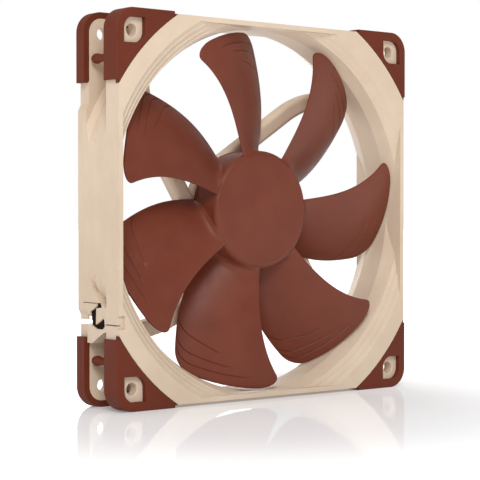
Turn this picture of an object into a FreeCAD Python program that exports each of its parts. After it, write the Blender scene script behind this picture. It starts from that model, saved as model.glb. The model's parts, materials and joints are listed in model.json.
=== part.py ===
"""Case fan, 140 mm square and 25 mm deep, with corner pads and a seven-blade impeller.

Millimetres. X is to the right and Z up as seen from the intake side, and Y runs along the
rotor's axis from the intake (-Y) to the outlet (+Y). The origin is on the axis, at mid-depth.
"""
import FreeCAD, Part
import math
import os

# Overall size
FRONT_Y = -12.5
REAR_Y = 12.5
PAD_HALF = 70.0            # half width over the rubber corner pads
SIDE_HALF = 69.0           # half width over the moulding's flat sides
HOLE_HALF = 62.25          # half of the 124.5 mm screw spacing
SCREW_RADIUS = 2.15
CUT = 0.5                  # how far a cutting tool runs past the surface that it cuts

# Corner pads and the flanges that they wrap
PAD_PLATE = 1.9            # thickness of the pad's face
PAD_RIM = 2.3              # thickness of the pad's rim
PAD_CORNER = 7.5
PAD_EDGE = 0.6             # rounding of the pad's outer edge
RIM_END = 44.8             # where the rim stops, from the middle of the side
TAIL_END = 43.3            # where the thin tail of a front pad's face stops
FRONT_RIM = 7.7            # depth of the rim, and of the flange that it wraps
REAR_RIM = 5.1
FRONT_RIM_Y = FRONT_Y + FRONT_RIM
REAR_RIM_Y = REAR_Y - REAR_RIM
PAD_ARC = 81.6             # radius of the pad's curved edge
RING_RADIUS = 81.4         # radius of the moulding's flush ring inside that edge
REAR_FLUSH_RADIUS = 77.4   # the rear flange's sides are flush inside this, and lower outside
REAR_SIDE_HALF = 67.9
FLANGE_HALF = PAD_HALF - PAD_RIM
FLANGE_CORNER = PAD_CORNER - PAD_RIM
WINDOW_HALF = 4.5          # half width of the window round a screw hole
WINDOW_ROUND = 4.2
PEG_NEAR = 53.2            # a peg's two distances from the middle of the sides
PEG_FAR = 66.2
PEG_NECK = 1.35
PEG_BULB = 1.85
PEG_TIP_GAP = 0.6          # between a peg's tip and the other flange
PEG_HOLE_GAP = 0.1         # all round a peg's neck, in the flange
SCREW_LIP = 0.35           # countersink at both ends of a screw hole
NUT_RADIUS = 4.3           # pocket behind the front flange's screw holes
NUT_SEAT = 4.1             # thickness of the flange that is left in front of it

# Duct
BORE = 67.2
CLIP_HALF = 67.2           # the flared mouths are cut flat at the sides here
INLET_RADII = (75.0, 73.0, 71.0, 69.3)
INLET_DEPTHS = (0.0, 1.0, 2.2, 3.2)
INLET_END_Y = -4.5
OUTLET_RADIUS = 71.0
OUTLET_START_Y = 5.0
LEDGE = 0.45               # height of each small step in the mouth, and on the barrel below
BARREL_LEDGE = 0.9
BARREL_RADII = (73.7, 73.0, 72.5, 72.0)
BARREL_YS = (-4.6, -2.0, 2.0, 5.4)
FLARE_RADIUS = 75.8        # where the barrel runs out into the rear flange

# Motor base and struts
BASE_RADIUS = 21.9
BASE_WALL = 1.6
BASE_FRONT_Y = 7.5
BASE_FLOOR_Y = 11.2
BASE_BEVEL = 0.6
LABEL_RECESS = 0.5
LABEL_RADIUS = 18.0
STRUT_COUNT = 4
STRUT_WIDTH = 6.3
STRUT_STRAIGHT = ((-6.2, 21.1), (22.6, 39.2))
STRUT_BEND = (39.4, 46.1)
STRUT_END = (58.0, 45.8)
STRUT_EDGE = 1.6           # rounding of its long edges on the rotor's side
CHANNEL_WIDTH = 2.6        # the lead's channel in the back of one strut
CHANNEL_DEPTH = 1.8

# Lead outlet in the left side, low down; outlines are (y, z) points seen from that side
OUTLET_DEPTH = 17.0        # how far in from the side the openings reach
SLOT_Z = -39.6
SLOT_WIDTH = 1.8
SLOT_START_Y = 4.6
KEYHOLE_Y = 6.3
KEYHOLE_RADIUS = 1.3
KEYHOLE_RISE = 0.9         # of its centre above the slot
OUTLET_SKIN = 1.4          # wall in front of the hollow behind the keyhole
WINDOW_OUTLINE = (
    (4.9, -40.3), (5.2, -35.8), (1.4, -33.9), (0.9, -32.5), (-1.4, -32.5),
    (-2.2, -34.3), (-3.6, -38.6), (-3.9, -40.6), (-2.6, -41.7), (1.2, -41.7),
)
CLIP_OUTLINE = (
    (-5.3, -33.8), (1.5, -34.4), (1.7, -40.2), (-1.0, -38.9), (-3.4, -37.4), (-5.3, -36.2),
)
BOSS_OUTLINE = (
    (7.9, -20.5), (6.4, -21.0), (3.6, -27.5), (-1.0, -32.2), (-3.8, -34.3), (-5.3, -35.4),
    (-5.3, -42.4), (-3.0, -42.9), (4.0, -46.8), (7.4, -46.8), (7.4, -44.8), (7.9, -44.8),
)
CLIP_X = -68.9             # the tongue's outer face
CLIP_THICK = 1.4
GROMMET_X = -68.3          # the grommet's outer face
GROMMET_GAP = 0.5          # between the grommet and the bore
LINE_YS = (1.0, 9.6)       # fine line above the window
LINE_Z = -32.5
LINE_WIDTH = 0.3
LINE_DEPTH = 0.8
SPLIT_Z = -39.7            # fine split from the window to the intake side
SPLIT_WIDTH = 0.45
SPLIT_DEPTH = 1.2
HEAD_ZS = (-41.2, -36.6)   # bar across the split's end
HEAD_LENGTH = 0.9
HEAD_DEPTH = 2.4

# Impeller
BLADE_COUNT = 7
HUB_RADIUS = 22.1
HUB_FRONT_Y = -7.3
HUB_REAR_Y = 6.8
HUB_EDGE = 1.2
HUB_WALL = 1.3
HUB_GROOVE_YS = (4.6, 5.7)     # fine grooves round the back of the hub
# Blade stations: radius, leading angle, trailing angle, leading Y, trailing Y, camber.
# Angles are degrees from +X towards +Z; the rotor turns that way.
BLADE_STATIONS = (
    (20.0, 113.5, 67.3, -6.5, 6.7, 1.1),
    (35.0, 112.4, 72.2, -7.7, 6.7, 1.5),
    (50.0, 115.0, 79.3, -9.2, 6.1, 2.0),
    (65.0, 121.5, 86.3, -10.2, 4.8, 2.5),
)
TIP_RADIUS = 66.4
LEADING_ROUND = (0.27, 4.6)    # tip corner: share of the chord, drop in radius
TRAILING_ROUND = (0.15, 6.5)
BLADE_ROOT = 21.3
THICK_ROOT = 1.9
THICK_TIP = 1.3
THICK_EDGE = 0.5

# Rotor's inside
CUP_WALL = 0.9
CUP_REAR_Y = 6.2
MAGNET_WALL = 1.8
MAGNET_YS = (-3.6, 5.4)
SHAFT_RADIUS = 1.5
SHAFT_END_Y = 10.2
GROOVE_RADIUS = 1.05
GROOVE_YS = (8.6, 9.4)
BUSH_RADIUS = 3.6
BUSH_NOSE = 2.4

# Bearing
SLEEVE_BORE = 1.54
SLEEVE_RADIUS = 3.0
SLEEVE_YS = (-1.6, 7.8)
TUBE_RADIUS = 3.8
TUBE_FRONT_Y = -2.4

# Stator
POLE_COUNT = 4
CORE_RADIUS = 17.5
CORE_YS = (-1.8, 3.0)
CORE_RING = 6.4
POLE_WIDTH = 4.4
SHOE_INNER = 15.3
SHOE_ANGLE = 74.0
INSULATOR = 0.7
WALL_HEIGHT = 1.2
WALL_THICK = 1.3
COIL_INNER = 7.4
COIL_OUTER = 14.4
COIL_BUILD = 1.9
BOARD_RADIUS = 19.6
BOARD_YS = (7.7, 8.9)
BOARD_HOLE = 4.4
PIN_RADIUS = 9.7           # where the coils' terminal pins stand, between the poles
PIN_HALF = 0.4
LEAD_WIRES = 4
JOINT_START = (-12.6, -7.2)    # first solder joint on the board, x and z
JOINT_STEP = (2.6, -1.6)       # from one joint to the next
CHIP_PLACE = (-12.5, 3.0)      # x and z of the components on the back of the board
CAPACITOR_PLACE = (11.0, 7.5, 35)      # with the angle that each is turned by
DIODE_PLACE = (6.5, -12.5, 30)
RESISTOR_PLACES = (
    (-9.0, 10.5, 40), (-3.0, 14.5, 10), (4.0, 15.0, -15), (13.5, 0.5, 90), (12.0, -6.5, 60),
)
SENSOR_RADII = (14.8, 17.4)    # the sensor sits behind the magnet's edge
SENSOR_ANGLE = 22
SENSOR_LEGS = (-1.27, 0.0, 1.27)

V = FreeCAD.Vector
ORIGIN = V(0, 0, 0)
AXIS = V(0, 1, 0)


def disc(radius, y0, y1):
    """Solid cylinder round the rotor's axis."""
    return Part.makeCylinder(radius, y1 - y0, V(0, y0, 0), AXIS)


def ring(outer, inner, y0, y1):
    """Tube round the rotor's axis."""
    return disc(outer, y0, y1).cut(disc(inner, y0 - CUT, y1 + CUT))


def turned(profile):
    """Solid turned round the rotor's axis from a closed outline of (radius, y) points."""
    points = [V(radius, y, 0) for radius, y in profile]
    points.append(points[0])
    return Part.Face(Part.makePolygon(points)).revolve(ORIGIN, AXIS, 360)


def post(radius, x, z, y0, y1):
    """Cylinder parallel to the axis at (x, z)."""
    return Part.makeCylinder(radius, y1 - y0, V(x, y0, z), AXIS)


def block(x0, x1, y0, y1, z0, z1):
    """Box from its six faces."""
    return Part.makeBox(x1 - x0, y1 - y0, z1 - z0, V(x0, y0, z0))


def slab(half, y0, y1):
    """Square plate centred on the axis."""
    return block(-half, half, y0, y1, -half, half)


def rounded_slab(half, corner, y0, y1):
    """Square plate with its four corners rounded."""
    plate = slab(half, y0, y1)
    corners = [edge for edge in plate.Edges if abs(edge.tangentAt(edge.FirstParameter).y) > 0.9]
    return plate.makeFillet(corner, corners)


def plate_of(edges, y0, y1):
    """Prism of thickness y1 - y0 from a closed run of edges that lie at y = 0."""
    face = Part.Face(Part.Wire(edges))
    face.translate(V(0, y0, 0))
    return face.extrude(V(0, y1 - y0, 0))


def turn(shape, degrees):
    """Copy of a shape, turned about the rotor's axis from +X towards +Z."""
    copy = shape.copy()
    copy.rotate(ORIGIN, AXIS, -degrees)
    return copy


def repeat(shape, count):
    """Copies of a shape spaced evenly round the rotor's axis."""
    return [turn(shape, 360.0 * index / count) for index in range(count)]


def chamfered_disc(radius, y0, y1, chamfer):
    """Cylinder with both ends bevelled."""
    return turned(
        [(0, y0), (radius - chamfer, y0), (radius, y0 + chamfer),
         (radius, y1 - chamfer), (radius - chamfer, y1), (0, y1)]
    )


# ---------------------------------------------------------------- moulding

def stepped_path(radii, ys, ledge):
    """(radius, y) points of a cone broken by a small ledge at every listed ring."""
    path = [(radii[0], ys[0])]
    for radius, y in zip(radii[1:], ys[1:]):
        path.append((radius + ledge, y))
        path.append((radius, y))
    return path


def duct_barrel():
    """Duct between the flanges: its outside steps down towards the outlet, and flares out there."""
    front = FRONT_RIM_Y - CUT
    rear = REAR_RIM_Y + CUT
    inner = BORE - 1.0
    radii = (BARREL_RADII[0] + BARREL_LEDGE,) + BARREL_RADII
    outside = stepped_path(radii, (front,) + BARREL_YS, BARREL_LEDGE)
    outline = outside + [(FLARE_RADIUS, rear), (inner, rear), (inner, front)]
    return turned(outline).common(slab(SIDE_HALF, FRONT_Y, REAR_Y))


def at_front(shape):
    """Moves a shape made with its face at y = 0 and its body at +y to the intake side."""
    copy = shape.copy()
    copy.translate(V(0, FRONT_Y, 0))
    return copy


def at_rear(shape):
    """The same on the outlet side, facing the other way."""
    copy = shape.mirror(ORIGIN, AXIS)
    copy.translate(V(0, REAR_Y, 0))
    return copy


def flange(depth):
    """One square end of the moulding: its flush ring, and the plate that carries the pads."""
    flush_ring = disc(RING_RADIUS, 0, depth).common(slab(SIDE_HALF, 0, depth))
    corners = rounded_slab(FLANGE_HALF, FLANGE_CORNER, PAD_PLATE, depth)
    sides = block(-SIDE_HALF, SIDE_HALF, PAD_PLATE, depth, -RIM_END, RIM_END)
    return flush_ring.fuse([corners, sides, turn(sides, 90)]).removeSplitter()


def rear_side_relief():
    """What is taken off the rear flange's sides on the way to its corners."""
    depth = (REAR_RIM_Y - CUT, REAR_Y + CUT)
    around = slab(SIDE_HALF + CUT, *depth).cut(disc(REAR_FLUSH_RADIUS, *depth))
    return around.cut(slab(REAR_SIDE_HALF, *depth))


def mouth_cut(profile, y0, y1):
    """Flared mouth: a turned hollow cut flat where it would reach the sides."""
    return turned(profile).common(slab(CLIP_HALF, y0, y1))


def inlet_cut():
    """Stepped intake mouth."""
    ys = [FRONT_Y + depth for depth in INLET_DEPTHS]
    path = stepped_path(INLET_RADII, ys, LEDGE)
    outline = [(0, FRONT_Y - CUT), (INLET_RADII[0], FRONT_Y - CUT)] + path
    outline += [(BORE, INLET_END_Y), (0, INLET_END_Y)]
    return mouth_cut(outline, FRONT_Y - CUT, INLET_END_Y)


def outlet_cut():
    """Flared outlet mouth."""
    outline = [(0, OUTLET_START_Y), (BORE, OUTLET_START_Y), (OUTLET_RADIUS, REAR_Y),
               (OUTLET_RADIUS, REAR_Y + CUT), (0, REAR_Y + CUT)]
    return mouth_cut(outline, OUTLET_START_Y, REAR_Y + CUT)


def corner_signs():
    """The four corners, as signs of X and Z."""
    return [(sx, sz) for sx in (-1, 1) for sz in (-1, 1)]


def flange_holes():
    """Screw holes, with a countersunk lip, and the holes that the pads' pegs pass through."""
    holes = []
    peg_hole = PEG_NECK + PEG_HOLE_GAP
    for sx, sz in corner_signs():
        x, z = sx * HOLE_HALF, sz * HOLE_HALF
        holes.append(post(SCREW_RADIUS, x, z, FRONT_Y, REAR_Y))
        for seat, way in ((FRONT_Y + PAD_PLATE, 1), (REAR_Y - PAD_PLATE, -1)):
            holes.append(Part.makeCone(
                SCREW_RADIUS + SCREW_LIP, SCREW_RADIUS, SCREW_LIP, V(x, seat, z), V(0, way, 0)))
        holes.append(post(NUT_RADIUS, x, z, FRONT_Y + PAD_PLATE + NUT_SEAT, FRONT_RIM_Y + CUT))
        holes.append(post(peg_hole, sx * PEG_FAR, sz * PEG_NEAR, FRONT_Y, 0))
        holes.append(post(peg_hole, sx * PEG_NEAR, sz * PEG_FAR, 0, REAR_Y))
    return holes


def offset_point(point, along, distance):
    """A point moved sideways, to the right of the direction from along[0] to along[1]."""
    dx, dz = along[1][0] - along[0][0], along[1][1] - along[0][1]
    length = math.hypot(dx, dz)
    return (point[0] + distance * dz / length, point[1] - distance * dx / length)


def strut_outline(inset, width):
    """Edges of one curved strut, straight from the base and then bent towards the wall."""
    start, knee = STRUT_STRAIGHT
    end_way = (STRUT_BEND, STRUT_END)
    bend_way = (knee, STRUT_END)

    def side(distance):
        first = offset_point(start, STRUT_STRAIGHT, distance)
        second = offset_point(knee, STRUT_STRAIGHT, distance)
        third = offset_point(STRUT_BEND, bend_way, distance)
        fourth = offset_point(STRUT_END, end_way, distance)
        return [V(x, 0, z) for x, z in (first, second, third, fourth)]

    upper = side(inset)
    lower = side(inset + width)
    return [
        Part.makeLine(upper[0], upper[1]),
        Part.Arc(upper[1], upper[2], upper[3]).toShape(),
        Part.makeLine(upper[3], lower[3]),
        Part.Arc(lower[3], lower[2], lower[1]).toShape(),
        Part.makeLine(lower[1], lower[0]),
        Part.makeLine(lower[0], upper[0]),
    ]


def strut():
    """One strut, from inside the base's wall to inside the duct's wall."""
    body = plate_of(strut_outline(0.0, STRUT_WIDTH), BASE_FRONT_Y, REAR_Y)
    long_edges = [
        edge for edge in body.Edges
        if edge.Length > 2 * STRUT_WIDTH
        and abs(edge.valueAt(edge.FirstParameter).y - BASE_FRONT_Y) < 0.1
    ]
    return body.makeFillet(STRUT_EDGE, long_edges)


def motor_base():
    """Round cup that carries the bearing tube and the circuit board."""
    inner = BASE_RADIUS - BASE_WALL
    rim = BASE_RADIUS - BASE_BEVEL
    label_y = REAR_Y - LABEL_RECESS
    return turned(
        [(TUBE_RADIUS, BASE_FLOOR_Y), (inner, BASE_FLOOR_Y), (inner, BASE_FRONT_Y),
         (rim, BASE_FRONT_Y), (BASE_RADIUS, BASE_FRONT_Y + BASE_BEVEL),
         (BASE_RADIUS, REAR_Y - BASE_BEVEL), (rim, REAR_Y), (LABEL_RADIUS, REAR_Y),
         (LABEL_RADIUS, label_y), (TUBE_RADIUS, label_y)]
    )


def lead_channel():
    """Groove for the lead in the back of the lower-left strut, and its way out of the base."""
    inset = (STRUT_WIDTH - CHANNEL_WIDTH) / 2
    groove = plate_of(strut_outline(inset, CHANNEL_WIDTH), REAR_Y - CHANNEL_DEPTH, REAR_Y + CUT)
    notch = block(3.0, 8.0, REAR_Y - CHANNEL_DEPTH, REAR_Y + CUT, 18.6, 26.6)
    return turn(groove.fuse(notch), 180)


def side_prism(outline, x0, x1):
    """Prism along X from an outline of (y, z) points."""
    points = [V(x0, y, z) for y, z in outline]
    points.append(points[0])
    return Part.Face(Part.makePolygon(points)).extrude(V(x1 - x0, 0, 0))


def lead_outlet():
    """Openings in the low left side: slot, keyhole, the hollow behind them, and the window."""
    x0 = -SIDE_HALF - CUT
    x1 = -SIDE_HALF + OUTLET_DEPTH
    top = SLOT_Z + SLOT_WIDTH / 2
    centre_z = top + KEYHOLE_RISE
    slot = block(x0, x1, SLOT_START_Y, REAR_Y + CUT, top - SLOT_WIDTH, top)
    keyhole = Part.makeCylinder(KEYHOLE_RADIUS, x1 - x0, V(x0, KEYHOLE_Y, centre_z), V(1, 0, 0))
    throat = block(
        x0, x1, KEYHOLE_Y - KEYHOLE_RADIUS, KEYHOLE_Y + KEYHOLE_RADIUS, top - KEYHOLE_RISE, centre_z)
    hollow = block(
        OUTLET_SKIN - SIDE_HALF, x1, KEYHOLE_Y - KEYHOLE_RADIUS, REAR_Y + CUT,
        top - SLOT_WIDTH, centre_z + KEYHOLE_RADIUS)
    return [slot, keyhole, throat, hollow, side_prism(WINDOW_OUTLINE, x0, x1)]


def outlet_boss():
    """Wall round the lead outlet that brings it out flush with the side."""
    return side_prism(BOSS_OUTLINE, -SIDE_HALF, -SIDE_HALF + OUTLET_DEPTH)


def side_marks():
    """Shallow lines in the left side round the window: one above it, and the split in front."""
    x0 = -SIDE_HALF - CUT
    front = FRONT_Y - CUT
    line = block(x0, LINE_DEPTH - SIDE_HALF, *LINE_YS, LINE_Z - LINE_WIDTH, LINE_Z)
    split = block(
        x0, SPLIT_DEPTH - SIDE_HALF, front, FRONT_RIM_Y + CUT, SPLIT_Z - SPLIT_WIDTH, SPLIT_Z)
    head = block(x0, HEAD_DEPTH - SIDE_HALF, front, FRONT_Y + HEAD_LENGTH, *HEAD_ZS)
    return [line, split, head]


def lead_clip():
    """Small tongue across the window that holds the grommet in."""
    return side_prism(CLIP_OUTLINE, CLIP_X, CLIP_X + CLIP_THICK)


def frame():
    """The one-piece moulding."""
    shell = at_front(flange(FRONT_RIM)).fuse([duct_barrel(), at_rear(flange(REAR_RIM)), outlet_boss()])
    cuts = [disc(BORE, FRONT_Y - CUT, REAR_Y + CUT), inlet_cut(), outlet_cut(), rear_side_relief()]
    shell = shell.cut(cuts + flange_holes() + lead_outlet() + side_marks())
    struts = repeat(strut(), STRUT_COUNT)
    outer_limit = disc(OUTLET_RADIUS + 1.0, BASE_FRONT_Y - CUT, REAR_Y + CUT)
    struts = [item.common(outer_limit) for item in struts]
    hollow = disc(BASE_RADIUS - BASE_WALL, BASE_FRONT_Y - CUT, REAR_Y + CUT)
    spider = motor_base().fuse([item.cut(hollow) for item in struts])
    body = shell.fuse([spider, lead_clip()])
    return body.cut(lead_channel()).removeSplitter()


def lead_grommet():
    """Soft plug that fills the window behind the tongue, as far as the bore and the hollow."""
    body = side_prism(WINDOW_OUTLINE, GROMMET_X, -SIDE_HALF + OUTLET_DEPTH)
    bore = disc(BORE + GROMMET_GAP, FRONT_Y, REAR_Y)
    tongue = side_prism(CLIP_OUTLINE, GROMMET_X - CUT, CLIP_X + CLIP_THICK)
    return body.cut([bore, tongue] + lead_outlet()[:4])


# ------------------------------------------------------------------- pads

def pad_window(depth):
    """Leaf-shaped window: round at its two corners on the diagonal, square at the others."""
    low = HOLE_HALF - WINDOW_HALF
    high = HOLE_HALF + WINDOW_HALF
    window = block(low, high, -CUT, depth + CUT, low, high)
    diagonal = [
        edge for edge in window.Edges
        if abs(edge.tangentAt(edge.FirstParameter).y) > 0.9
        and abs(edge.CenterOfMass.x - edge.CenterOfMass.z) < 0.1
    ]
    return window.makeFillet(WINDOW_ROUND, diagonal)


def peg(tip, x, z):
    """Retention peg with a bulb at its end, from the pad's face to a depth of tip."""
    length = tip - PAD_PLATE
    bulb = length - 2.6
    outline = [(0, 0), (PEG_NECK, 0), (PEG_NECK, bulb - 2.2), (PEG_BULB, bulb),
               (PEG_BULB, bulb + 0.8), (0.8 * PEG_BULB, bulb + 1.9), (0.4 * PEG_BULB, length),
               (0, length)]
    body = turned(outline)
    body.translate(V(x, PAD_PLATE, z))
    return body


def corner_pad(rim, tail, peg_tip, peg_x, peg_z):
    """Upper right pad, its face at y = 0: face plate, wrap-round rim, window and one peg."""
    outer = rounded_slab(PAD_HALF, PAD_CORNER, 0, rim)
    outer = outer.makeFillet(PAD_EDGE, [edge for edge in outer.Edges if edge.BoundBox.YMax < 0.1])
    inner = rounded_slab(FLANGE_HALF, FLANGE_CORNER, PAD_PLATE, rim + CUT)
    rim_zone = block(RIM_END, PAD_HALF, 0, rim, RIM_END, PAD_HALF)
    tail_zone = block(tail, SIDE_HALF, 0, PAD_PLATE, tail, SIDE_HALF)
    body = outer.cut(inner).common(rim_zone.fuse(tail_zone))
    body = body.cut([disc(PAD_ARC, -CUT, rim + CUT), pad_window(rim)])
    return body.fuse(peg(peg_tip, peg_x, peg_z)).removeSplitter()


def pads():
    """All eight pads by name; the left ones mirror the right ones, the low ones the high ones."""
    across = REAR_Y - FRONT_Y - PEG_TIP_GAP
    upper_right = {
        "front": at_front(corner_pad(FRONT_RIM, TAIL_END, across - REAR_RIM, PEG_FAR, PEG_NEAR)),
        "rear": at_rear(corner_pad(REAR_RIM, RIM_END, across - FRONT_RIM, PEG_NEAR, PEG_FAR)),
    }
    result = {}
    for end, right in upper_right.items():
        left = right.mirror(ORIGIN, V(1, 0, 0))
        result[end + "_pad_top_right"] = right
        result[end + "_pad_top_left"] = left
        result[end + "_pad_bottom_right"] = right.mirror(ORIGIN, V(0, 0, 1))
        result[end + "_pad_bottom_left"] = left.mirror(ORIGIN, V(0, 0, 1))
    return result


# --------------------------------------------------------------- impeller

def station_value(column, radius):
    """Blade figure at a radius: the cubic through the four stations (Lagrange's form)."""
    total = 0.0
    for i, row in enumerate(BLADE_STATIONS):
        weight = 1.0
        for j, other in enumerate(BLADE_STATIONS):
            if j != i:
                weight *= (radius - other[0]) / (row[0] - other[0])
        total += weight * row[column]
    return total


def round_off(distance, share, drop):
    """Loss of tip radius near a rounded tip corner, an ellipse quarter."""
    if distance >= share:
        return 0.0
    along = 1.0 - distance / share
    return drop * (1.0 - math.sqrt(1.0 - along * along))


def blade_point(chord, span, side):
    """Point on a blade's face: chord 0 to 1 from the leading edge, span 0 to 1 to the tip."""
    tip = TIP_RADIUS - round_off(chord, *LEADING_ROUND) - round_off(1.0 - chord, *TRAILING_ROUND)
    radius = BLADE_ROOT + (tip - BLADE_ROOT) * span
    lead, trail = station_value(1, radius), station_value(2, radius)
    lead_y, trail_y = station_value(3, radius), station_value(4, radius)
    arc = math.radians(trail - lead) * radius
    rise = trail_y - lead_y
    length = math.hypot(arc, rise)
    hump = 4.0 * chord * (1.0 - chord)
    root_share = (TIP_RADIUS - radius) / (TIP_RADIUS - BLADE_ROOT)
    middle = THICK_TIP + (THICK_ROOT - THICK_TIP) * root_share
    thickness = THICK_EDGE + (middle - THICK_EDGE) * math.sqrt(hump)
    lift = hump * station_value(5, radius) + side * thickness / 2.0
    angle = math.radians(lead + (trail - lead) * chord) - lift * rise / length / radius
    y = lead_y + rise * chord + lift * arc / length
    return V(radius * math.cos(angle), y, radius * math.sin(angle))


def blade():
    """One forward-swept blade, closed from its two faces and the strips round its edge."""
    chords = [0.5 - 0.5 * math.cos(math.pi * i / 18) for i in range(19)]
    spans = [math.sin(0.5 * math.pi * i / 9) for i in range(10)]
    faces = []
    for side in (1, -1):
        surface = Part.BSplineSurface()
        surface.interpolate([[blade_point(c, s, side) for s in spans] for c in chords])
        faces.append(surface)
    front, back = faces
    strips = []
    for end in (0.0, 1.0):
        strips.append(Part.makeRuledSurface(front.uIso(end).toShape(), back.uIso(end).toShape()))
        strips.append(Part.makeRuledSurface(front.vIso(end).toShape(), back.vIso(end).toShape()))
    shell = Part.Shell([front.toShape(), back.toShape()] + strips)
    shell.sewShape()
    solid = Part.Solid(Part.Shell(shell.Faces))
    if solid.Volume < 0:
        solid.reverse()
    return solid


def impeller():
    """Hub shell and blades, one moulding."""
    core = disc(HUB_RADIUS, HUB_FRONT_Y, HUB_REAR_Y)
    front_edge = [edge for edge in core.Edges if abs(edge.CenterOfMass.y - HUB_FRONT_Y) < 0.1]
    core = core.makeFillet(HUB_EDGE, front_edge)
    grooves = [ring(HUB_RADIUS + CUT, HUB_RADIUS - 0.3, y, y + 0.4) for y in HUB_GROOVE_YS]
    body = core.cut(grooves).fuse(repeat(blade(), BLADE_COUNT))
    hollow = disc(HUB_RADIUS - HUB_WALL, HUB_FRONT_Y + HUB_WALL, REAR_Y)
    return body.cut(hollow).removeSplitter()


# ----------------------------------------------------------- rotor's inside

def rotor_cup():
    """Steel cup pressed into the hub, which carries the magnet's flux."""
    front = HUB_FRONT_Y + HUB_WALL
    outer = HUB_RADIUS - HUB_WALL
    cup = disc(outer, front, CUP_REAR_Y).cut(disc(outer - CUP_WALL, front + CUP_WALL, CUP_REAR_Y + CUT))
    return cup.cut(disc(BUSH_NOSE, front - CUT, front + CUP_WALL + CUT))


def ring_magnet():
    outer = HUB_RADIUS - HUB_WALL - CUP_WALL
    return ring(outer, outer - MAGNET_WALL, *MAGNET_YS)


def shaft_bush():
    """Brass bush that joins the shaft to the cup."""
    front = HUB_FRONT_Y + HUB_WALL
    back = front + CUP_WALL
    return turned(
        [(SHAFT_RADIUS, front), (BUSH_NOSE, front), (BUSH_NOSE, back), (BUSH_RADIUS, back),
         (BUSH_RADIUS, back + 1.2), (BUSH_RADIUS - 0.6, back + 2.0), (SHAFT_RADIUS, back + 2.0)]
    )


def shaft():
    """Shaft with a clip groove and a domed end."""
    front = HUB_FRONT_Y + HUB_WALL
    low, high = GROOVE_YS
    return turned(
        [(0, front), (SHAFT_RADIUS, front), (SHAFT_RADIUS, low), (GROOVE_RADIUS, low),
         (GROOVE_RADIUS, high), (SHAFT_RADIUS - 0.1, high), (SHAFT_RADIUS - 0.3, SHAFT_END_Y - 0.3),
         (SHAFT_RADIUS * 0.4, SHAFT_END_Y), (0, SHAFT_END_Y)]
    )


# ---------------------------------------------------------------- bearing

def bearing_tube():
    """Brass tube moulded into the base, with a shoulder under the stator core."""
    return turned(
        [(SLEEVE_RADIUS, TUBE_FRONT_Y), (TUBE_RADIUS - 0.3, TUBE_FRONT_Y),
         (TUBE_RADIUS, TUBE_FRONT_Y + 0.3),
         (TUBE_RADIUS, REAR_Y - LABEL_RECESS), (SLEEVE_RADIUS, REAR_Y - LABEL_RECESS)]
    )


def bearing_sleeve():
    """Sintered sleeve that the shaft runs in."""
    low, high = SLEEVE_YS
    bevel = 0.3
    return turned(
        [(SLEEVE_BORE, low), (SLEEVE_RADIUS - bevel, low), (SLEEVE_RADIUS, low + bevel),
         (SLEEVE_RADIUS, high - bevel), (SLEEVE_RADIUS - bevel, high), (SLEEVE_BORE, high)]
    )


def oil_ring():
    return ring(SLEEVE_RADIUS, SHAFT_RADIUS + 0.25, TUBE_FRONT_Y, SLEEVE_YS[0])


def retaining_clip():
    """Split nylon washer that sits in the shaft's groove."""
    low, high = GROOVE_YS
    washer = ring(SLEEVE_RADIUS, GROOVE_RADIUS + 0.08, low + 0.15, high - 0.15)
    return washer.cut(block(0, SLEEVE_RADIUS + 1, low, high, -0.3, 0.3))


def thrust_pad():
    return chamfered_disc(SLEEVE_RADIUS, SHAFT_END_Y + 0.1, SHAFT_END_Y + 0.8, 0.15)


def bearing_cap():
    """Plug that closes the tube behind the thrust pad."""
    return chamfered_disc(SLEEVE_RADIUS, SHAFT_END_Y + 0.8, REAR_Y - LABEL_RECESS, 0.2)


def rear_label():
    """Plain round cover sheet over the bearing, with nothing printed on it."""
    return disc(LABEL_RADIUS - 0.2, REAR_Y - LABEL_RECESS, REAR_Y - LABEL_RECESS + 0.25)


# ------------------------------------------------------------------ stator

def pole(y0, y1):
    """One pole of the stator: neck and curved shoe."""
    neck = block(CORE_RING - 1.0, SHOE_INNER + 0.5, y0, y1, -POLE_WIDTH / 2, POLE_WIDTH / 2)
    shoe = ring(CORE_RADIUS, SHOE_INNER, y0, y1)
    half = math.radians(SHOE_ANGLE / 2)
    reach = 2 * CORE_RADIUS
    low = V(reach, 0, -reach * math.tan(half))
    high = V(reach, 0, reach * math.tan(half))
    outline = [Part.makeLine(ORIGIN, low), Part.makeLine(low, high), Part.makeLine(high, ORIGIN)]
    wedge = plate_of(outline, y0, y1)
    return neck.fuse(shoe.common(wedge))


def star(y0, y1):
    """Ring and poles of the stator between two heights."""
    body = disc(CORE_RING, y0, y1).fuse(repeat(pole(y0, y1), POLE_COUNT))
    return body.cut(disc(TUBE_RADIUS, y0 - CUT, y1 + CUT)).removeSplitter()


def stator_core():
    """Stack of steel laminations."""
    return star(*CORE_YS)


def insulator(y0, y1):
    """Plastic end plate of the core, with a low wall that holds the coils in."""
    plate = star(y0, y1)
    in_front = y0 < CORE_YS[0]
    w0 = y0 - WALL_HEIGHT if in_front else y1
    w1 = w0 + WALL_HEIGHT
    half = 0.9 * POLE_WIDTH
    wall = ring(SHOE_INNER + WALL_THICK, SHOE_INNER, w0, w1)
    wall = wall.common(block(0, CORE_RADIUS, w0, w1, -half, half))
    return plate.fuse(repeat(wall, POLE_COUNT)).removeSplitter()


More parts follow.
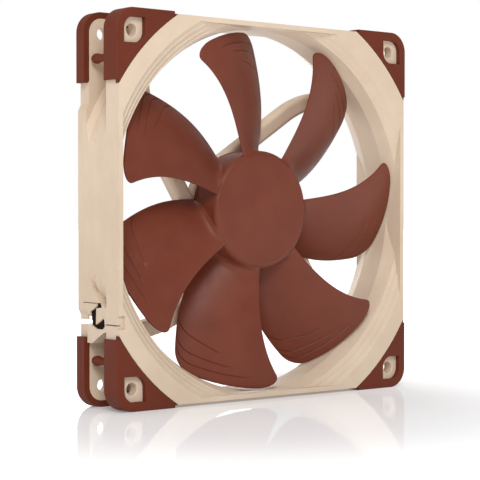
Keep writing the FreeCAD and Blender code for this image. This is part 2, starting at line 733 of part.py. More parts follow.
def coil():
    """One winding round a pole's neck and its insulators."""
    inner_y0 = CORE_YS[0] - INSULATOR
    inner_y1 = CORE_YS[1] + INSULATOR
    half = POLE_WIDTH / 2
    outer = block(COIL_INNER, COIL_OUTER, inner_y0 - COIL_BUILD, inner_y1 + COIL_BUILD,
                  -half - COIL_BUILD, half + COIL_BUILD)
    rounds = [edge for edge in outer.Edges if abs(edge.tangentAt(edge.FirstParameter).x) > 0.9]
    outer = outer.makeFillet(COIL_BUILD * 0.8, rounds)
    return outer.cut(block(COIL_INNER - 1, COIL_OUTER + 1, inner_y0, inner_y1, -half, half))


def between_poles(shape):
    """Copies of a shape made on +X, one in each space between two poles."""
    half_step = 180.0 / POLE_COUNT
    return [turn(item, half_step) for item in repeat(shape, POLE_COUNT)]


def terminal_pins():
    """Square pins from the rear insulator through the board, a group of separate pieces."""
    pin = block(PIN_RADIUS - PIN_HALF, PIN_RADIUS + PIN_HALF, CORE_YS[1] + INSULATOR,
                BOARD_YS[1] + 0.6, -PIN_HALF, PIN_HALF)
    return Part.makeCompound(between_poles(pin))


def pin_feet():
    """Arms of the rear insulator that the pins stand on."""
    arm = block(CORE_RING - 1.5, PIN_RADIUS + 1.0, CORE_YS[1], CORE_YS[1] + INSULATOR, -1.0, 1.0)
    return between_poles(arm)


def circuit_board():
    """Round board in the base, with holes for the tube and the pins."""
    board = ring(BOARD_RADIUS, BOARD_HOLE, *BOARD_YS)
    half = PIN_HALF + 0.1
    hole = block(PIN_RADIUS - half, PIN_RADIUS + half, BOARD_YS[0] - CUT, BOARD_YS[1] + CUT, -half, half)
    return board.cut(between_poles(hole))


def flat_package(length, width, height, legs, pitch):
    """Chip body with flat legs along both long sides, lying on y = 0."""
    body = block(-width / 2, width / 2, 0.1, height, -length / 2, length / 2)
    pieces = []
    for side in (-1, 1):
        for index in range(legs):
            z = (index - (legs - 1) / 2.0) * pitch
            x0, x1 = sorted((side * width / 2 * 0.9, side * (width / 2 + 0.9)))
            pieces.append(block(x0, x1, 0, 0.3, z - 0.2, z + 0.2))
    return body.fuse(pieces).removeSplitter()


def on_board(shape, x, z, degrees=0):
    """Places a component made at the origin on the back of the board."""
    copy = shape.copy()
    copy.rotate(ORIGIN, AXIS, -degrees)
    copy.translate(V(x, BOARD_YS[1], z))
    return copy


def driver_chip():
    return on_board(flat_package(5.0, 3.9, 1.5, 4, 1.27), *CHIP_PLACE)


def hall_sensor():
    """Sensor on the front of the board, just behind the magnet's edge, with three legs."""
    y1 = BOARD_YS[0]
    low, high = SENSOR_RADII
    body = block(low, high, y1 - 1.9, y1 - 0.4, -2.0, 2.0)
    legs = [block(low + 1.0, low + 1.5, y1 - 0.6, y1, z - 0.2, z + 0.2) for z in SENSOR_LEGS]
    return turn(body.fuse(legs).removeSplitter(), SENSOR_ANGLE)


def capacitor():
    """Chip capacitor on the back of the board."""
    return on_board(block(-1.6, 1.6, 0, 1.5, -1.2, 1.2), *CAPACITOR_PLACE)


def resistors():
    """Chip resistors round the board, a group of separate pieces."""
    chip = block(-1.0, 1.0, 0, 0.5, -0.6, 0.6)
    return Part.makeCompound([on_board(chip, *place) for place in RESISTOR_PLACES])


def diode():
    return on_board(flat_package(2.6, 1.6, 1.0, 1, 1.0), *DIODE_PLACE)


def lead_joints():
    """Solder domes where the lead's wires join the board, a group of separate pieces."""
    dome = turned([(0, 0), (1.0, 0), (0.8, 0.5), (0.35, 0.9), (0, 1.0)])
    domes = []
    for index in range(LEAD_WIRES):
        x = JOINT_START[0] + JOINT_STEP[0] * index
        z = JOINT_START[1] + JOINT_STEP[1] * index
        domes.append(on_board(dome, x, z))
    return Part.makeCompound(domes)


def main():
    parts = {
        "frame": frame(),
        "impeller": impeller(),
        "rotor_cup": rotor_cup(),
        "ring_magnet": ring_magnet(),
        "shaft_bush": shaft_bush(),
        "shaft": shaft(),
        "bearing_tube": bearing_tube(),
        "bearing_sleeve": bearing_sleeve(),
        "oil_ring": oil_ring(),
        "retaining_clip": retaining_clip(),
        "thrust_pad": thrust_pad(),
        "bearing_cap": bearing_cap(),
        "rear_label": rear_label(),
        "stator_core": stator_core(),
        "front_insulator": insulator(CORE_YS[0] - INSULATOR, CORE_YS[0]),
        "rear_insulator": insulator(CORE_YS[1], CORE_YS[1] + INSULATOR).fuse(pin_feet()),
        "terminal_pins": terminal_pins(),
        "lead_grommet": lead_grommet(),
        "circuit_board": circuit_board(),
        "driver_chip": driver_chip(),
        "hall_sensor": hall_sensor(),
        "capacitor": capacitor(),
        "resistors": resistors(),
        "diode": diode(),
        "lead_joints": lead_joints(),
    }
    parts.update(pads())
    for number, winding in enumerate(repeat(coil(), POLE_COUNT), start=1):
        parts["coil_" + str(number)] = winding
    os.makedirs("parts", exist_ok=True)
    for name, shape in parts.items():
        shape.exportStep("parts/" + name + ".step")


main()
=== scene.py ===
"""Looks, stage, light and camera for the case fan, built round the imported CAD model."""
import json
import math

import bmesh
import bpy
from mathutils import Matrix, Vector


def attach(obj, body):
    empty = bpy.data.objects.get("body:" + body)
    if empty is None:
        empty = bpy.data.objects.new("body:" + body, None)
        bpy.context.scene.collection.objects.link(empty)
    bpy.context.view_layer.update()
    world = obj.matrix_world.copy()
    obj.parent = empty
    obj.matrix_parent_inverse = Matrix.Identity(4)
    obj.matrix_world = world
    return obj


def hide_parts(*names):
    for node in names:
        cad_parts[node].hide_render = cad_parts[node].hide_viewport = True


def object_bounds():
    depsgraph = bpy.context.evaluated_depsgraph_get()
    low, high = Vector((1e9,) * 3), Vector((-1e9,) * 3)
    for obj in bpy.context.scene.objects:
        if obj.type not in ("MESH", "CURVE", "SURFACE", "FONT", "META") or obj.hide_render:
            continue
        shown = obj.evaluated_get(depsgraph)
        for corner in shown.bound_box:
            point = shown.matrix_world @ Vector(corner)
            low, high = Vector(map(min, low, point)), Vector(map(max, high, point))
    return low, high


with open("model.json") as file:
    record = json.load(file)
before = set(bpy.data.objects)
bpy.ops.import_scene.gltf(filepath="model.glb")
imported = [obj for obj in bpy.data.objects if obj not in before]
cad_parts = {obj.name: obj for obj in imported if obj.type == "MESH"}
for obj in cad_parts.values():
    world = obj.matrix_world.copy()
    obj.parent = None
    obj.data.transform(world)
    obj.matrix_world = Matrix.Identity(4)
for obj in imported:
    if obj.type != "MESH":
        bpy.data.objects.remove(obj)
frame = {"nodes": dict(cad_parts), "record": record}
CAD_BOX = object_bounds()
MM = 0.001

# Camera, in metres: where it stands, the way that it looks and its lens on a 36 mm sensor
CAMERA_PLACE = Vector((-0.3875, -0.4635, -0.00105))
CAMERA_WAY = Vector((0.6366, 0.7712, -0.0169))
CAMERA_LENS = 120.45

SURROUND = 0.42               # strength of the surroundings as a light
SOFT_BOXES = (                # name, place and size in metres, watts
    ("key_box", (-0.68, -0.85, 0.72), 0.5, 9.5),
    ("top_box", (0.0, 0.1, 1.1), 0.9, 4.0),
    ("back_box", (0.3, 1.0, -0.02), 0.9, 7.0),
)

# Floor. Its polish and its glow change with the distance from a centre, all in metres:
# (distance where the change starts, where it ends, share at the start, share at the end)
FLOOR_RADIUS = 6.0
FLOOR_CENTRE = (-0.035, -0.022, 0.0)
FLOOR_POLISH = (0.05, 0.32, 0.32, 0.0)
FLOOR_GLOW = (0.06, 0.225, 0.12, 1.0)
GLOW_STRENGTH = 1.4           # lights the fan from below

# Impeller, in millimetres. The figures are the CAD source's own, but the hub's edge is softer.
BLADE_COUNT = 7
HUB_RADIUS = 22.1
HUB_FRONT_Y = -7.3
HUB_REAR_Y = 6.8
HUB_EDGE = 2.2
HUB_WALL = 1.3
HUB_GROOVE_YS = (4.6, 5.7)
HUB_GROOVE_DEPTH = 0.3
HUB_GROOVE_WIDTH = 0.4
HUB_STEPS = 224
# Radius, angles of the leading and trailing edge in degrees, their y, height of the camber
BLADE_STATIONS = (
    (20.0, 113.5, 67.3, -6.5, 6.7, 1.1),
    (35.0, 112.4, 72.2, -7.7, 6.7, 1.5),
    (50.0, 115.0, 79.3, -9.2, 6.1, 2.0),
    (65.0, 121.5, 86.3, -10.2, 4.8, 2.5),
)
LEAD, TRAIL, LEAD_Y, TRAIL_Y, CAMBER = range(1, 6)
TIP_RADIUS = 66.4
LEADING_ROUND = (0.27, 4.6)   # share of the chord that is rounded off, and the tip's loss there
TRAILING_ROUND = (0.15, 6.5)
BLADE_ROOT = 21.3
THICK_ROOT = 1.9
THICK_TIP = 1.3
THICK_EDGE = 0.5
ROOT_FILLET = 2.6
CHORD_STEPS = 72
ROOT_SPANS = (0.0, 0.02, 0.026, 0.036, 0.05)    # first rows of points, as shares of the span
TIP_SPANS = (0.993, 0.998, 1.0)                 # last rows of points
TIP_THINNING = {-1: 0.85, 0: 0.55}              # share of the thickness left in the last two rows
# Flow grooves in a blade's front: span at the trailing edge and at the far end, and where on
# the chord that end is
GROOVES = ((0.690, 0.770, 0.48), (0.840, 0.855, 0.40), (0.925, 0.915, 0.26))
GROOVE_HALF = 0.0065          # half width, as a share of the span
GROOVE_DEPTH = 0.28
GROOVE_FADE = 0.10            # share of the chord over which a groove runs out
ROWS_BELOW_GROOVE = (16, 5, 5)

LABEL_RING = 16.2             # radius of the printed ring on the label, in millimetres
COPPER_TURN = 0.34            # width of a turn of wire, in millimetres
SHEET_THICKNESS = 0.5         # of the stator core's sheets, in millimetres


# ------------------------------------------------------------------ meshes

def make_object(name, bm, smooth_below=None):
    """Object from a bmesh, smooth across edges that turn less than an angle in degrees."""
    bmesh.ops.recalc_face_normals(bm, faces=bm.faces)
    if smooth_below:
        for face in bm.faces:
            face.smooth = True
        limit = math.radians(smooth_below)
        for edge in bm.edges:
            edge.smooth = len(edge.link_faces) == 2 and edge.calc_face_angle(0.0) < limit
    mesh = bpy.data.meshes.new(name)
    bm.to_mesh(mesh)
    bm.free()
    made = bpy.data.objects.new(name, mesh)
    bpy.context.scene.collection.objects.link(made)
    return made


def station_value(column, radius):
    """Blade figure at a radius: the cubic through the four stations."""
    total = 0.0
    for i, row in enumerate(BLADE_STATIONS):
        weight = 1.0
        for j, other in enumerate(BLADE_STATIONS):
            if j != i:
                weight *= (radius - other[0]) / (row[0] - other[0])
        total += weight * row[column]
    return total


def round_off(distance, share, drop):
    """Loss of tip radius near a rounded tip corner."""
    if distance >= share:
        return 0.0
    along = 1.0 - distance / share
    return drop * (1.0 - math.sqrt(1.0 - along * along))


def smooth_step(value):
    """Eased share: 0 up to 0 and 1 from 1 onwards."""
    value = max(0.0, min(1.0, value))
    return value * value * (3.0 - 2.0 * value)


def groove_line(index, chord):
    """Span of a flow groove's middle at a place on the chord."""
    start, end, far = GROOVES[index]
    return start + (end - start) * (1.0 - chord) / (1.0 - far)


def span_rows(chord):
    """(span, share of groove depth) down one chord line, with rows that follow the grooves."""
    rows = [(span, 0.0) for span in ROOT_SPANS]
    low = ROOT_SPANS[-1]
    for index, (_, _, far) in enumerate(GROOVES):
        middle = groove_line(index, chord)
        share = smooth_step((chord - far) / GROOVE_FADE)
        steps = ROWS_BELOW_GROOVE[index]
        below = middle - GROOVE_HALF
        rows += [(low + (below - low) * k / steps, 0.0) for k in range(1, steps)]
        rows.append((below, 0.0))
        rows.append((middle - GROOVE_HALF / 2, 0.75 * share))
        rows.append((middle, share))
        rows.append((middle + GROOVE_HALF / 2, 0.75 * share))
        low = middle + GROOVE_HALF
        rows.append((low, 0.0))
    rows += [(low + (TIP_SPANS[0] - low) * k / 3, 0.0) for k in range(1, 4)]
    rows += [(span, 0.0) for span in TIP_SPANS[1:]]
    return rows


def blade_point(chord, row, rows, side):
    """Point on a blade's face, in millimetres: side is 1 in front and -1 at the back."""
    span, groove = rows[row]
    tip = TIP_RADIUS - round_off(chord, *LEADING_ROUND) - round_off(1.0 - chord, *TRAILING_ROUND)
    radius = BLADE_ROOT + (tip - BLADE_ROOT) * span
    lead, trail = station_value(LEAD, radius), station_value(TRAIL, radius)
    lead_y, trail_y = station_value(LEAD_Y, radius), station_value(TRAIL_Y, radius)
    arc = math.radians(trail - lead) * radius
    rise = trail_y - lead_y
    length = math.hypot(arc, rise)
    hump = 4.0 * chord * (1.0 - chord)
    root_share = (TIP_RADIUS - radius) / (TIP_RADIUS - BLADE_ROOT)
    middle = THICK_TIP + (THICK_ROOT - THICK_TIP) * root_share
    thickness = THICK_EDGE + (middle - THICK_EDGE) * math.sqrt(hump)
    above = max(0.0, min(1.0, (radius - HUB_RADIUS) / ROOT_FILLET))
    fillet = ROOT_FILLET * (1.0 - math.sqrt(1.0 - (1.0 - above) ** 2)) * min(1.0, 1.2 * hump)
    half = thickness / 2.0 + fillet
    half *= TIP_THINNING.get(row - (len(rows) - 1), 1.0)
    if side > 0:
        half -= GROOVE_DEPTH * groove * min(1.0, 6.0 * hump + 0.4)
    lift = hump * station_value(CAMBER, radius) + side * half
    angle = math.radians(lead + (trail - lead) * chord) - lift * rise / length / radius
    y = lead_y + rise * chord + lift * arc / length
    return Vector((radius * math.cos(angle), y, radius * math.sin(angle)))


def blade_loop(row, chords, all_rows):
    """One closed section of a blade: its front, its trailing nose, its back, its leading nose."""
    front = [blade_point(c, row, all_rows[i], 1) for i, c in enumerate(chords)]
    back = [blade_point(c, row, all_rows[i], -1) for i, c in enumerate(chords)]
    noses = []
    for edge, inner in ((-1, -2), (0, 1)):
        middle = (front[edge] + back[edge]) / 2.0
        outward = middle - (front[inner] + back[inner]) / 2.0
        noses.append(middle + outward.normalized() * (front[edge] - back[edge]).length * 0.35)
    return front + [noses[0]] + back[::-1] + [noses[1]]


def add_blade(bm, turn_angle):
    """Adds one closed blade to the bmesh."""
    chords = [0.5 - 0.5 * math.cos(math.pi * i / CHORD_STEPS) for i in range(CHORD_STEPS + 1)]
    all_rows = [span_rows(c) for c in chords]
    cos_turn, sin_turn = math.cos(turn_angle), math.sin(turn_angle)
    loops = []
    for row in range(len(all_rows[0])):
        loop = []
        for p in blade_loop(row, chords, all_rows):
            x, z = p.x * cos_turn - p.z * sin_turn, p.x * sin_turn + p.z * cos_turn
            loop.append(bm.verts.new((x * MM, p.y * MM, z * MM)))
        loops.append(loop)
    size = len(loops[0])
    back = size - 2
    for low, high in zip(loops, loops[1:]):
        for i in range(size):
            k = (i + 1) % size
            bm.faces.new((low[i], low[k], high[k], high[i]))
    for loop in (loops[0], loops[-1]):
        for i in range(CHORD_STEPS):
            bm.faces.new((loop[i], loop[i + 1], loop[back - i - 1], loop[back - i]))
        bm.faces.new(loop[CHORD_STEPS:CHORD_STEPS + 3])
        bm.faces.new((loop[0], loop[back], loop[size - 1]))


def hub_profile():
    """Closed outline of the hub shell as (radius, y), from the axis outwards and back inside."""
    points = [(0.0, HUB_FRONT_Y)]
    points += [(HUB_RADIUS * share, HUB_FRONT_Y) for share in (0.35, 0.7, 0.9)]
    centre = (HUB_RADIUS - HUB_EDGE, HUB_FRONT_Y + HUB_EDGE)
    for i in range(11):
        a = math.radians(90.0 * i / 10)
        points.append((centre[0] + HUB_EDGE * math.sin(a), centre[1] - HUB_EDGE * math.cos(a)))
    for y in HUB_GROOVE_YS:
        inner = HUB_RADIUS - HUB_GROOVE_DEPTH
        end = y + HUB_GROOVE_WIDTH
        points += [(HUB_RADIUS, y), (inner, y + 0.1), (inner, end - 0.1), (HUB_RADIUS, end)]
    bore = HUB_RADIUS - HUB_WALL
    points += [(HUB_RADIUS, HUB_REAR_Y - 0.2), (HUB_RADIUS - 0.2, HUB_REAR_Y)]
    points += [(bore, HUB_REAR_Y), (bore, HUB_FRONT_Y + HUB_WALL), (0.0, HUB_FRONT_Y + HUB_WALL)]
    return points


def add_lathe(bm, profile, steps):
    """Adds a closed turned solid, whose outline starts and ends on the axis."""
    ends = [bm.verts.new((0.0, profile[i][1] * MM, 0.0)) for i in (0, -1)]
    rings = []
    for radius, y in profile[1:-1]:
        ring = []
        for i in range(steps):
            a = 2.0 * math.pi * i / steps
            x, z = radius * math.cos(a), radius * math.sin(a)
            ring.append(bm.verts.new((x * MM, y * MM, z * MM)))
        rings.append(ring)
    for i in range(steps):
        k = (i + 1) % steps
        bm.faces.new((ends[0], rings[0][k], rings[0][i]))
        bm.faces.new((ends[1], rings[-1][i], rings[-1][k]))
        for low, high in zip(rings, rings[1:]):
            bm.faces.new((low[i], low[k], high[k], high[i]))


def impeller_body():
    """Hub and blades joined into one closed moulding."""
    bm = bmesh.new()
    add_lathe(bm, hub_profile(), HUB_STEPS)
    hub = make_object("hub_shape", bm)
    bm = bmesh.new()
    for i in range(BLADE_COUNT):
        add_blade(bm, 2.0 * math.pi * i / BLADE_COUNT)
    blades = make_object("blade_shapes", bm)
    union = hub.modifiers.new("union", "BOOLEAN")
    union.operation = "UNION"
    union.solver = "MANIFOLD"
    union.object = blades
    shapes = bpy.context.evaluated_depsgraph_get()
    joined = bpy.data.meshes.new_from_object(hub.evaluated_get(shapes))
    bm = bmesh.new()
    bm.from_mesh(joined)
    for scrap in (hub, blades):
        bpy.data.objects.remove(scrap)
    return make_object("impeller_moulding", bm, smooth_below=38.0)


# --------------------------------------------------------------- materials

class Paint:
    """One node material, built round a Principled shader with object coordinates."""

    def __init__(self, name, roughness=0.5, metallic=0.0, specular=0.5):
        self.material = bpy.data.materials.new(name)
        self.material.use_nodes = True
        self.tree = self.material.node_tree
        self.tree.nodes.clear()
        self.shader = self.add("ShaderNodeBsdfPrincipled")
        self.output = self.add("ShaderNodeOutputMaterial")
        self.link(self.shader.outputs["BSDF"], self.output.inputs["Surface"])
        self.shader.inputs["Roughness"].default_value = roughness
        self.shader.inputs["Metallic"].default_value = metallic
        self.shader.inputs["Specular IOR Level"].default_value = specular
        self.place = self.add("ShaderNodeTexCoord").outputs["Object"]

    def add(self, kind, **settings):
        """New node with its settings."""
        node = self.tree.nodes.new(kind)
        for key, value in settings.items():
            setattr(node, key, value)
        return node

    def link(self, source, target):
        self.tree.links.new(source, target)

    def feed(self, socket, value):
        """Gives a socket a plain value, or a link from another node's output."""
        if isinstance(value, bpy.types.NodeSocket):
            self.link(value, socket)
        else:
            socket.default_value = value

    def put(self, node, **values):
        """Feeds sockets by name."""
        for key, value in values.items():
            self.feed(node.inputs[key], value)

    def noise(self, size, detail=3.0, roughness=0.55, place=None):
        """Noise whose features are about size millimetres across."""
        node = self.add("ShaderNodeTexNoise")
        self.put(node, Vector=place or self.place, Scale=1.0 / (size * MM), Detail=detail,
                 Roughness=roughness)
        return node.outputs["Fac"]

    def cells(self, size, feature="F1"):
        """Cells about size millimetres across."""
        node = self.add("ShaderNodeTexVoronoi", feature=feature)
        self.put(node, Vector=self.place, Scale=1.0 / (size * MM))
        return node.outputs["Distance"]

    def stretched(self, scale):
        """Object coordinates multiplied by a vector."""
        node = self.add("ShaderNodeVectorMath", operation="MULTIPLY")
        self.link(self.place, node.inputs[0])
        node.inputs[1].default_value = scale
        return node.outputs["Vector"]

    def radius(self):
        """Distance from the rotor's axis, in metres."""
        node = self.add("ShaderNodeVectorMath", operation="LENGTH")
        self.link(self.stretched((1.0, 0.0, 1.0)), node.inputs[0])
        return node.outputs["Value"]

    def math(self, operation, first, second=0.0):
        """One step of arithmetic on numbers or links."""
        node = self.add("ShaderNodeMath", operation=operation)
        for socket, value in zip(node.inputs, (first, second)):
            self.feed(socket, value)
        return node.outputs["Value"]

    def fit(self, value, low, high, to_low, to_high):
        """Eases a value's range from low to high into the range from to_low to to_high."""
        node = self.add("ShaderNodeMapRange", interpolation_type="SMOOTHSTEP")
        self.link(value, node.inputs["Value"])
        keys = ("From Min", "From Max", "To Min", "To Max")
        for key, number in zip(keys, (low, high, to_low, to_high)):
            node.inputs[key].default_value = number
        return node.outputs["Result"]

    def blend(self, factor, first, second):
        """Mix of two colours: plain triples or links."""
        node = self.add("ShaderNodeMix", data_type="RGBA")
        self.link(factor, node.inputs[0])
        for socket, value in ((node.inputs[6], first), (node.inputs[7], second)):
            self.feed(socket, (*value, 1.0) if isinstance(value, tuple) else value)
        return node.outputs[2]

    def colour(self, value):
        """Base colour from a link."""
        self.link(value, self.shader.inputs["Base Color"])

    def rough(self, value, low, high):
        """Roughness that follows a pattern between two values."""
        self.link(self.fit(value, 0.3, 0.7, low, high), self.shader.inputs["Roughness"])

    def relief(self, *layers, edge=0.0):
        """Stacks (height, depth in millimetres) layers of bump, over rounded edges if asked."""
        normal = None
        if edge:
            bevel = self.add("ShaderNodeBevel", samples=4)
            bevel.inputs["Radius"].default_value = edge * MM
            normal = bevel.outputs["Normal"]
        for height, depth in layers:
            bump = self.add("ShaderNodeBump")
            bump.inputs["Distance"].default_value = depth * MM
            self.link(height, bump.inputs["Height"])
            if normal:
                self.link(normal, bump.inputs["Normal"])
            normal = bump.outputs["Normal"]
        self.link(normal, self.shader.inputs["Normal"])


def moulded(name, deep, pale, grain, roughness, specular, edge):
    """Moulded plastic or rubber: slow colour drift, flow streaks, fine spark-eroded grain."""
    paint = Paint(name, specular=specular)
    drift = paint.noise(38.0, 2.0)
    streaks = paint.noise(9.0, 4.0, 0.6, paint.stretched((1.0, 2.2, 1.0)))
    speck = paint.noise(0.35, 2.0)
    tone = paint.math("ADD", paint.math("MULTIPLY", drift, 0.65),
                      paint.math("MULTIPLY", streaks, 0.35))
    base = paint.blend(paint.fit(tone, 0.35, 0.65, 0.0, 1.0), deep, pale)
    dark = tuple(0.86 * c for c in deep)
    paint.colour(paint.blend(paint.fit(speck, 0.60, 0.78, 0.0, 0.35), base, dark))
    paint.rough(streaks, roughness - 0.05, roughness + 0.07)
    paint.relief((paint.noise(grain, 3.0), 0.012), (paint.noise(14.0, 1.0), 0.05), edge=edge)
    return paint.material


def turned_metal(name, deep, pale, roughness, pitch):
    """Turned or drawn metal with fine marks across the axis."""
    paint = Paint(name, metallic=1.0)
    marks = paint.noise(pitch, 3.0, 0.6, paint.stretched((0.06, 1.0, 0.06)))
    stain = paint.noise(3.5, 3.0)
    paint.colour(paint.blend(paint.fit(stain, 0.35, 0.7, 0.0, 1.0), pale, deep))
    paint.rough(marks, roughness - 0.08, roughness + 0.1)
    paint.relief((marks, 0.008), edge=0.08)
    return paint.material


def laminations():
    """Punched sheets with dark lines between them."""
    paint = Paint("lamination_steel_look", metallic=0.9)
    split = paint.add("ShaderNodeSeparateXYZ")
    paint.link(paint.place, split.inputs["Vector"])
    sheets = paint.math("MULTIPLY", split.outputs["Y"], 1.0 / (SHEET_THICKNESS * MM))
    off_middle = paint.math("ABSOLUTE", paint.math("SUBTRACT", paint.math("FRACT", sheets), 0.5))
    gap = paint.fit(off_middle, 0.36, 0.48, 0.0, 1.0)
    base = paint.blend(paint.noise(1.6, 4.0), (0.30, 0.31, 0.33), (0.46, 0.47, 0.49))
    paint.colour(paint.blend(gap, base, (0.05, 0.045, 0.04)))
    paint.rough(paint.noise(0.6), 0.34, 0.52)
    paint.relief((paint.math("SUBTRACT", 1.0, gap), 0.05), edge=0.05)
    return paint.material


def wound_copper():
    """Enamelled wire: turns side by side along each pole, some of them a little proud, with painted
    shade in the grooves between turns.
    """
    paint = Paint("copper_wire_look", metallic=0.75)
    turns = paint.math("FRACT", paint.math("MULTIPLY", paint.radius(), 1.0 / (COPPER_TURN * MM)))
    round_top = paint.math("SINE", paint.math("MULTIPLY", turns, math.pi))
    # painted shade: the grooves between neighbouring turns are darkened where shadow falls between
    # round wires
    painted_valley_shade = paint.fit(round_top, 0.0, 0.75, 0.0, 1.0)
    wander = paint.noise(1.4, 2.0)
    wire = paint.blend(wander, (0.42, 0.13, 0.045), (0.66, 0.26, 0.10))
    # the deep brown in the grooves is painted shade, not the wire's own colour
    paint.colour(paint.blend(painted_valley_shade, (0.07, 0.02, 0.01), wire))
    paint.rough(wander, 0.22, 0.38)
    paint.relief((round_top, 0.12), (wander, 0.08))
    return paint.material


def board():
    """Green solder mask over copper tracks that show as a slightly raised, paler pattern."""
    paint = Paint("board_green_look", specular=0.5)
    tracks = paint.fit(paint.cells(3.2, feature="DISTANCE_TO_EDGE"), 0.10, 0.14, 1.0, 0.0)
    weave = paint.noise(0.5, 2.0)
    mask = paint.blend(weave, (0.008, 0.085, 0.03), (0.014, 0.12, 0.045))
    paint.colour(paint.blend(tracks, mask, (0.03, 0.20, 0.07)))
    paint.rough(weave, 0.22, 0.34)
    paint.relief((tracks, 0.03), (weave, 0.006), edge=0.1)
    return paint.material


def speckled(name, deep, pale, size, roughness, metallic=0.0, depth=0.02):
    """Sintered, ceramic or filled material with a visible grain."""
    paint = Paint(name, metallic=metallic, specular=0.4)
    grain = paint.cells(size)
    cloud = paint.noise(size * 6.0, 3.0)
    paint.colour(paint.blend(cloud, paint.blend(grain, pale, deep), deep))
    paint.rough(cloud, roughness - 0.08, roughness + 0.08)
    paint.relief((grain, depth), (cloud, depth), edge=0.12)
    return paint.material


def cover_film():
    """Plain round cover film: a satin middle, a printed ring near its rim, fine brushed lines."""
    paint = Paint("label_film_look", specular=0.5)
    off_ring = paint.math("ABSOLUTE", paint.math("SUBTRACT", paint.radius(), LABEL_RING * MM))
    rim = paint.fit(off_ring, 0.25 * MM, 0.35 * MM, 1.0, 0.0)
    brushed = paint.noise(0.4, 3.0, 0.6, paint.stretched((0.05, 1.0, 1.0)))
    film = paint.blend(brushed, (0.115, 0.032, 0.018), (0.15, 0.045, 0.027))
    paint.colour(paint.blend(rim, film, (0.62, 0.47, 0.35)))
    paint.rough(brushed, 0.30, 0.42)
    paint.relief((brushed, 0.004), (paint.noise(7.0, 1.0), 0.06), edge=0.08)
    return paint.material


BROWN_DEEP = (0.143, 0.0315, 0.0160)
BROWN_PALE = (0.169, 0.0400, 0.0210)
LOOKS = {
    "beige_plastic": moulded("beige_plastic_look", (0.615, 0.480, 0.358), (0.675, 0.540, 0.413),
                             0.22, 0.46, 0.22, 0.18),
    "brown_plastic": moulded("brown_plastic_look", BROWN_DEEP, BROWN_PALE, 0.18, 0.40, 0.24, 0.0),
    "brown_rubber": moulded("brown_rubber_look", (0.120, 0.0235, 0.0105), (0.142, 0.0290, 0.0135),
                            0.28, 0.56, 0.16, 0.3),
    "black_rubber": moulded("black_rubber_look", (0.009, 0.005, 0.003), (0.018, 0.011, 0.007),
                            0.28, 0.7, 0.04, 0.2),
    "cup_steel": turned_metal("cup_steel_look", (0.42, 0.42, 0.43), (0.60, 0.60, 0.61), 0.34, 0.25),
    "magnet_ferrite": speckled("magnet_ferrite_look", (0.022, 0.022, 0.025), (0.06, 0.06, 0.065),
                               0.18, 0.6, 0.2),
    "brass": turned_metal("brass_look", (0.52, 0.34, 0.12), (0.76, 0.55, 0.24), 0.28, 0.2),
    "shaft_steel": turned_metal("shaft_steel_look", (0.52, 0.52, 0.54), (0.70, 0.70, 0.72),
                                0.18, 0.12),
    "sintered_bronze": speckled("sintered_bronze_look", (0.25, 0.14, 0.06), (0.52, 0.33, 0.16),
                                0.12, 0.45, 0.85),
    "nylon_white": speckled("nylon_white_look", (0.68, 0.66, 0.60), (0.80, 0.79, 0.74), 0.3, 0.5),
    "nylon_dark": speckled("nylon_dark_look", (0.02, 0.02, 0.021), (0.05, 0.05, 0.052), 0.25, 0.5),
    "label_film": cover_film(),
    "lamination_steel": laminations(),
    "insulator_plastic": speckled("insulator_plastic_look", (0.62, 0.60, 0.53), (0.76, 0.74, 0.68),
                                  0.35, 0.52),
    "tinned_metal": turned_metal("tinned_metal_look", (0.50, 0.50, 0.49), (0.74, 0.74, 0.72),
                                 0.3, 0.3),
    "board_green": board(),
    "chip_black": speckled("chip_black_look", (0.012, 0.012, 0.013), (0.035, 0.035, 0.036),
                           0.08, 0.55),
    "capacitor_tan": speckled("capacitor_tan_look", (0.24, 0.14, 0.07), (0.38, 0.25, 0.13),
                              0.1, 0.5),
    "copper_wire": wound_copper(),
}


def dress_nodes():
    """Gives every CAD node the finish of its material slot."""
    for part in frame["record"]["subparts"]:
        for slot in frame["nodes"][part["node"]].material_slots:
            slot.material = LOOKS[part["material_slot"]]


# ------------------------------------------------------- stage and camera

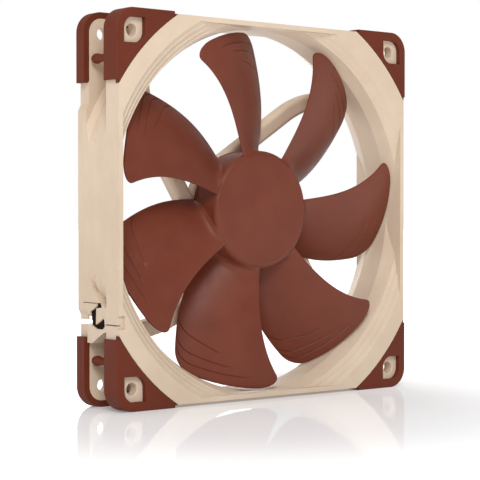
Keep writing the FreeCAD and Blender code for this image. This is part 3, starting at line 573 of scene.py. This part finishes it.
def make_floor(height):
    """Wide white floor, with a soft polish round the object that dies away further out."""
    paint = Paint("floor_white")
    diffuse = paint.add("ShaderNodeBsdfDiffuse")
    diffuse.inputs["Color"].default_value = (0.93, 0.925, 0.93, 1.0)
    gloss = paint.add("ShaderNodeBsdfGlossy")
    gloss.inputs["Roughness"].default_value = 0.05
    gloss.inputs["Color"].default_value = (1.0, 1.0, 1.0, 1.0)
    glow = paint.add("ShaderNodeEmission")
    glow.inputs["Strength"].default_value = GLOW_STRENGTH
    shifted = paint.add("ShaderNodeVectorMath", operation="SUBTRACT")
    paint.link(paint.place, shifted.inputs[0])
    shifted.inputs[1].default_value = FLOOR_CENTRE
    away = paint.add("ShaderNodeVectorMath", operation="LENGTH")
    paint.link(shifted.outputs["Vector"], away.inputs[0])
    polish = paint.add("ShaderNodeMixShader")
    paint.link(paint.fit(away.outputs["Value"], *FLOOR_POLISH), polish.inputs["Fac"])
    paint.link(diffuse.outputs["BSDF"], polish.inputs[1])
    paint.link(gloss.outputs["BSDF"], polish.inputs[2])
    far = paint.add("ShaderNodeMixShader")
    paint.link(paint.fit(away.outputs["Value"], *FLOOR_GLOW), far.inputs["Fac"])
    paint.link(polish.outputs["Shader"], far.inputs[1])
    paint.link(glow.outputs["Emission"], far.inputs[2])
    paint.link(far.outputs["Shader"], paint.output.inputs["Surface"])
    bm = bmesh.new()
    bmesh.ops.create_circle(bm, cap_ends=True, radius=FLOOR_RADIUS, segments=96)
    floor = make_object("floor", bm, smooth_below=38.0)
    floor.location = (0.0, 0.0, height)
    floor.data.materials.append(paint.material)


def soft_light(name, place, size, watts):
    """Square area light aimed at the fan's middle."""
    light = bpy.data.lights.new(name, "AREA")
    light.size = size
    light.energy = watts
    lamp = bpy.data.objects.new(name, light)
    lamp.location = place
    lamp.rotation_mode = "QUATERNION"
    lamp.rotation_quaternion = (-Vector(place)).to_track_quat("-Z", "Y")
    bpy.context.scene.collection.objects.link(lamp)


def make_light():
    """White backdrop, dim enough on the fan to keep its colours deep, and three soft boxes."""
    world = bpy.data.worlds.new("studio")
    world.use_nodes = True
    tree = world.node_tree
    background = tree.nodes["Background"]
    seen = tree.nodes.new("ShaderNodeLightPath").outputs["Is Camera Ray"]
    strength = tree.nodes.new("ShaderNodeMapRange")
    strength.inputs["To Min"].default_value = SURROUND
    strength.inputs["To Max"].default_value = 1.0
    tree.links.new(seen, strength.inputs["Value"])
    tree.links.new(strength.outputs["Result"], background.inputs["Strength"])
    background.inputs["Color"].default_value = (1.0, 1.0, 1.0, 1.0)
    bpy.context.scene.world = world
    for box in SOFT_BOXES:
        soft_light(*box)
    bpy.context.scene.view_settings.view_transform = "Standard"


def make_camera():
    """Long lens at the fan's own height, from the front left."""
    lens = bpy.data.cameras.new("camera")
    lens.sensor_width = 36.0
    lens.lens = CAMERA_LENS
    lens.clip_start = 0.01
    lens.clip_end = 50.0
    camera = bpy.data.objects.new("camera", lens)
    camera.location = CAMERA_PLACE
    camera.rotation_mode = "QUATERNION"
    camera.rotation_quaternion = CAMERA_WAY.to_track_quat("-Z", "Y")
    bpy.context.scene.collection.objects.link(camera)
    bpy.context.scene.camera = camera


dress_nodes()
impeller = impeller_body()
impeller.data.materials.append(LOOKS["brown_plastic"])
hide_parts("impeller")
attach(impeller, "rotor")
make_floor(CAD_BOX[0].z)
make_light()
make_camera()
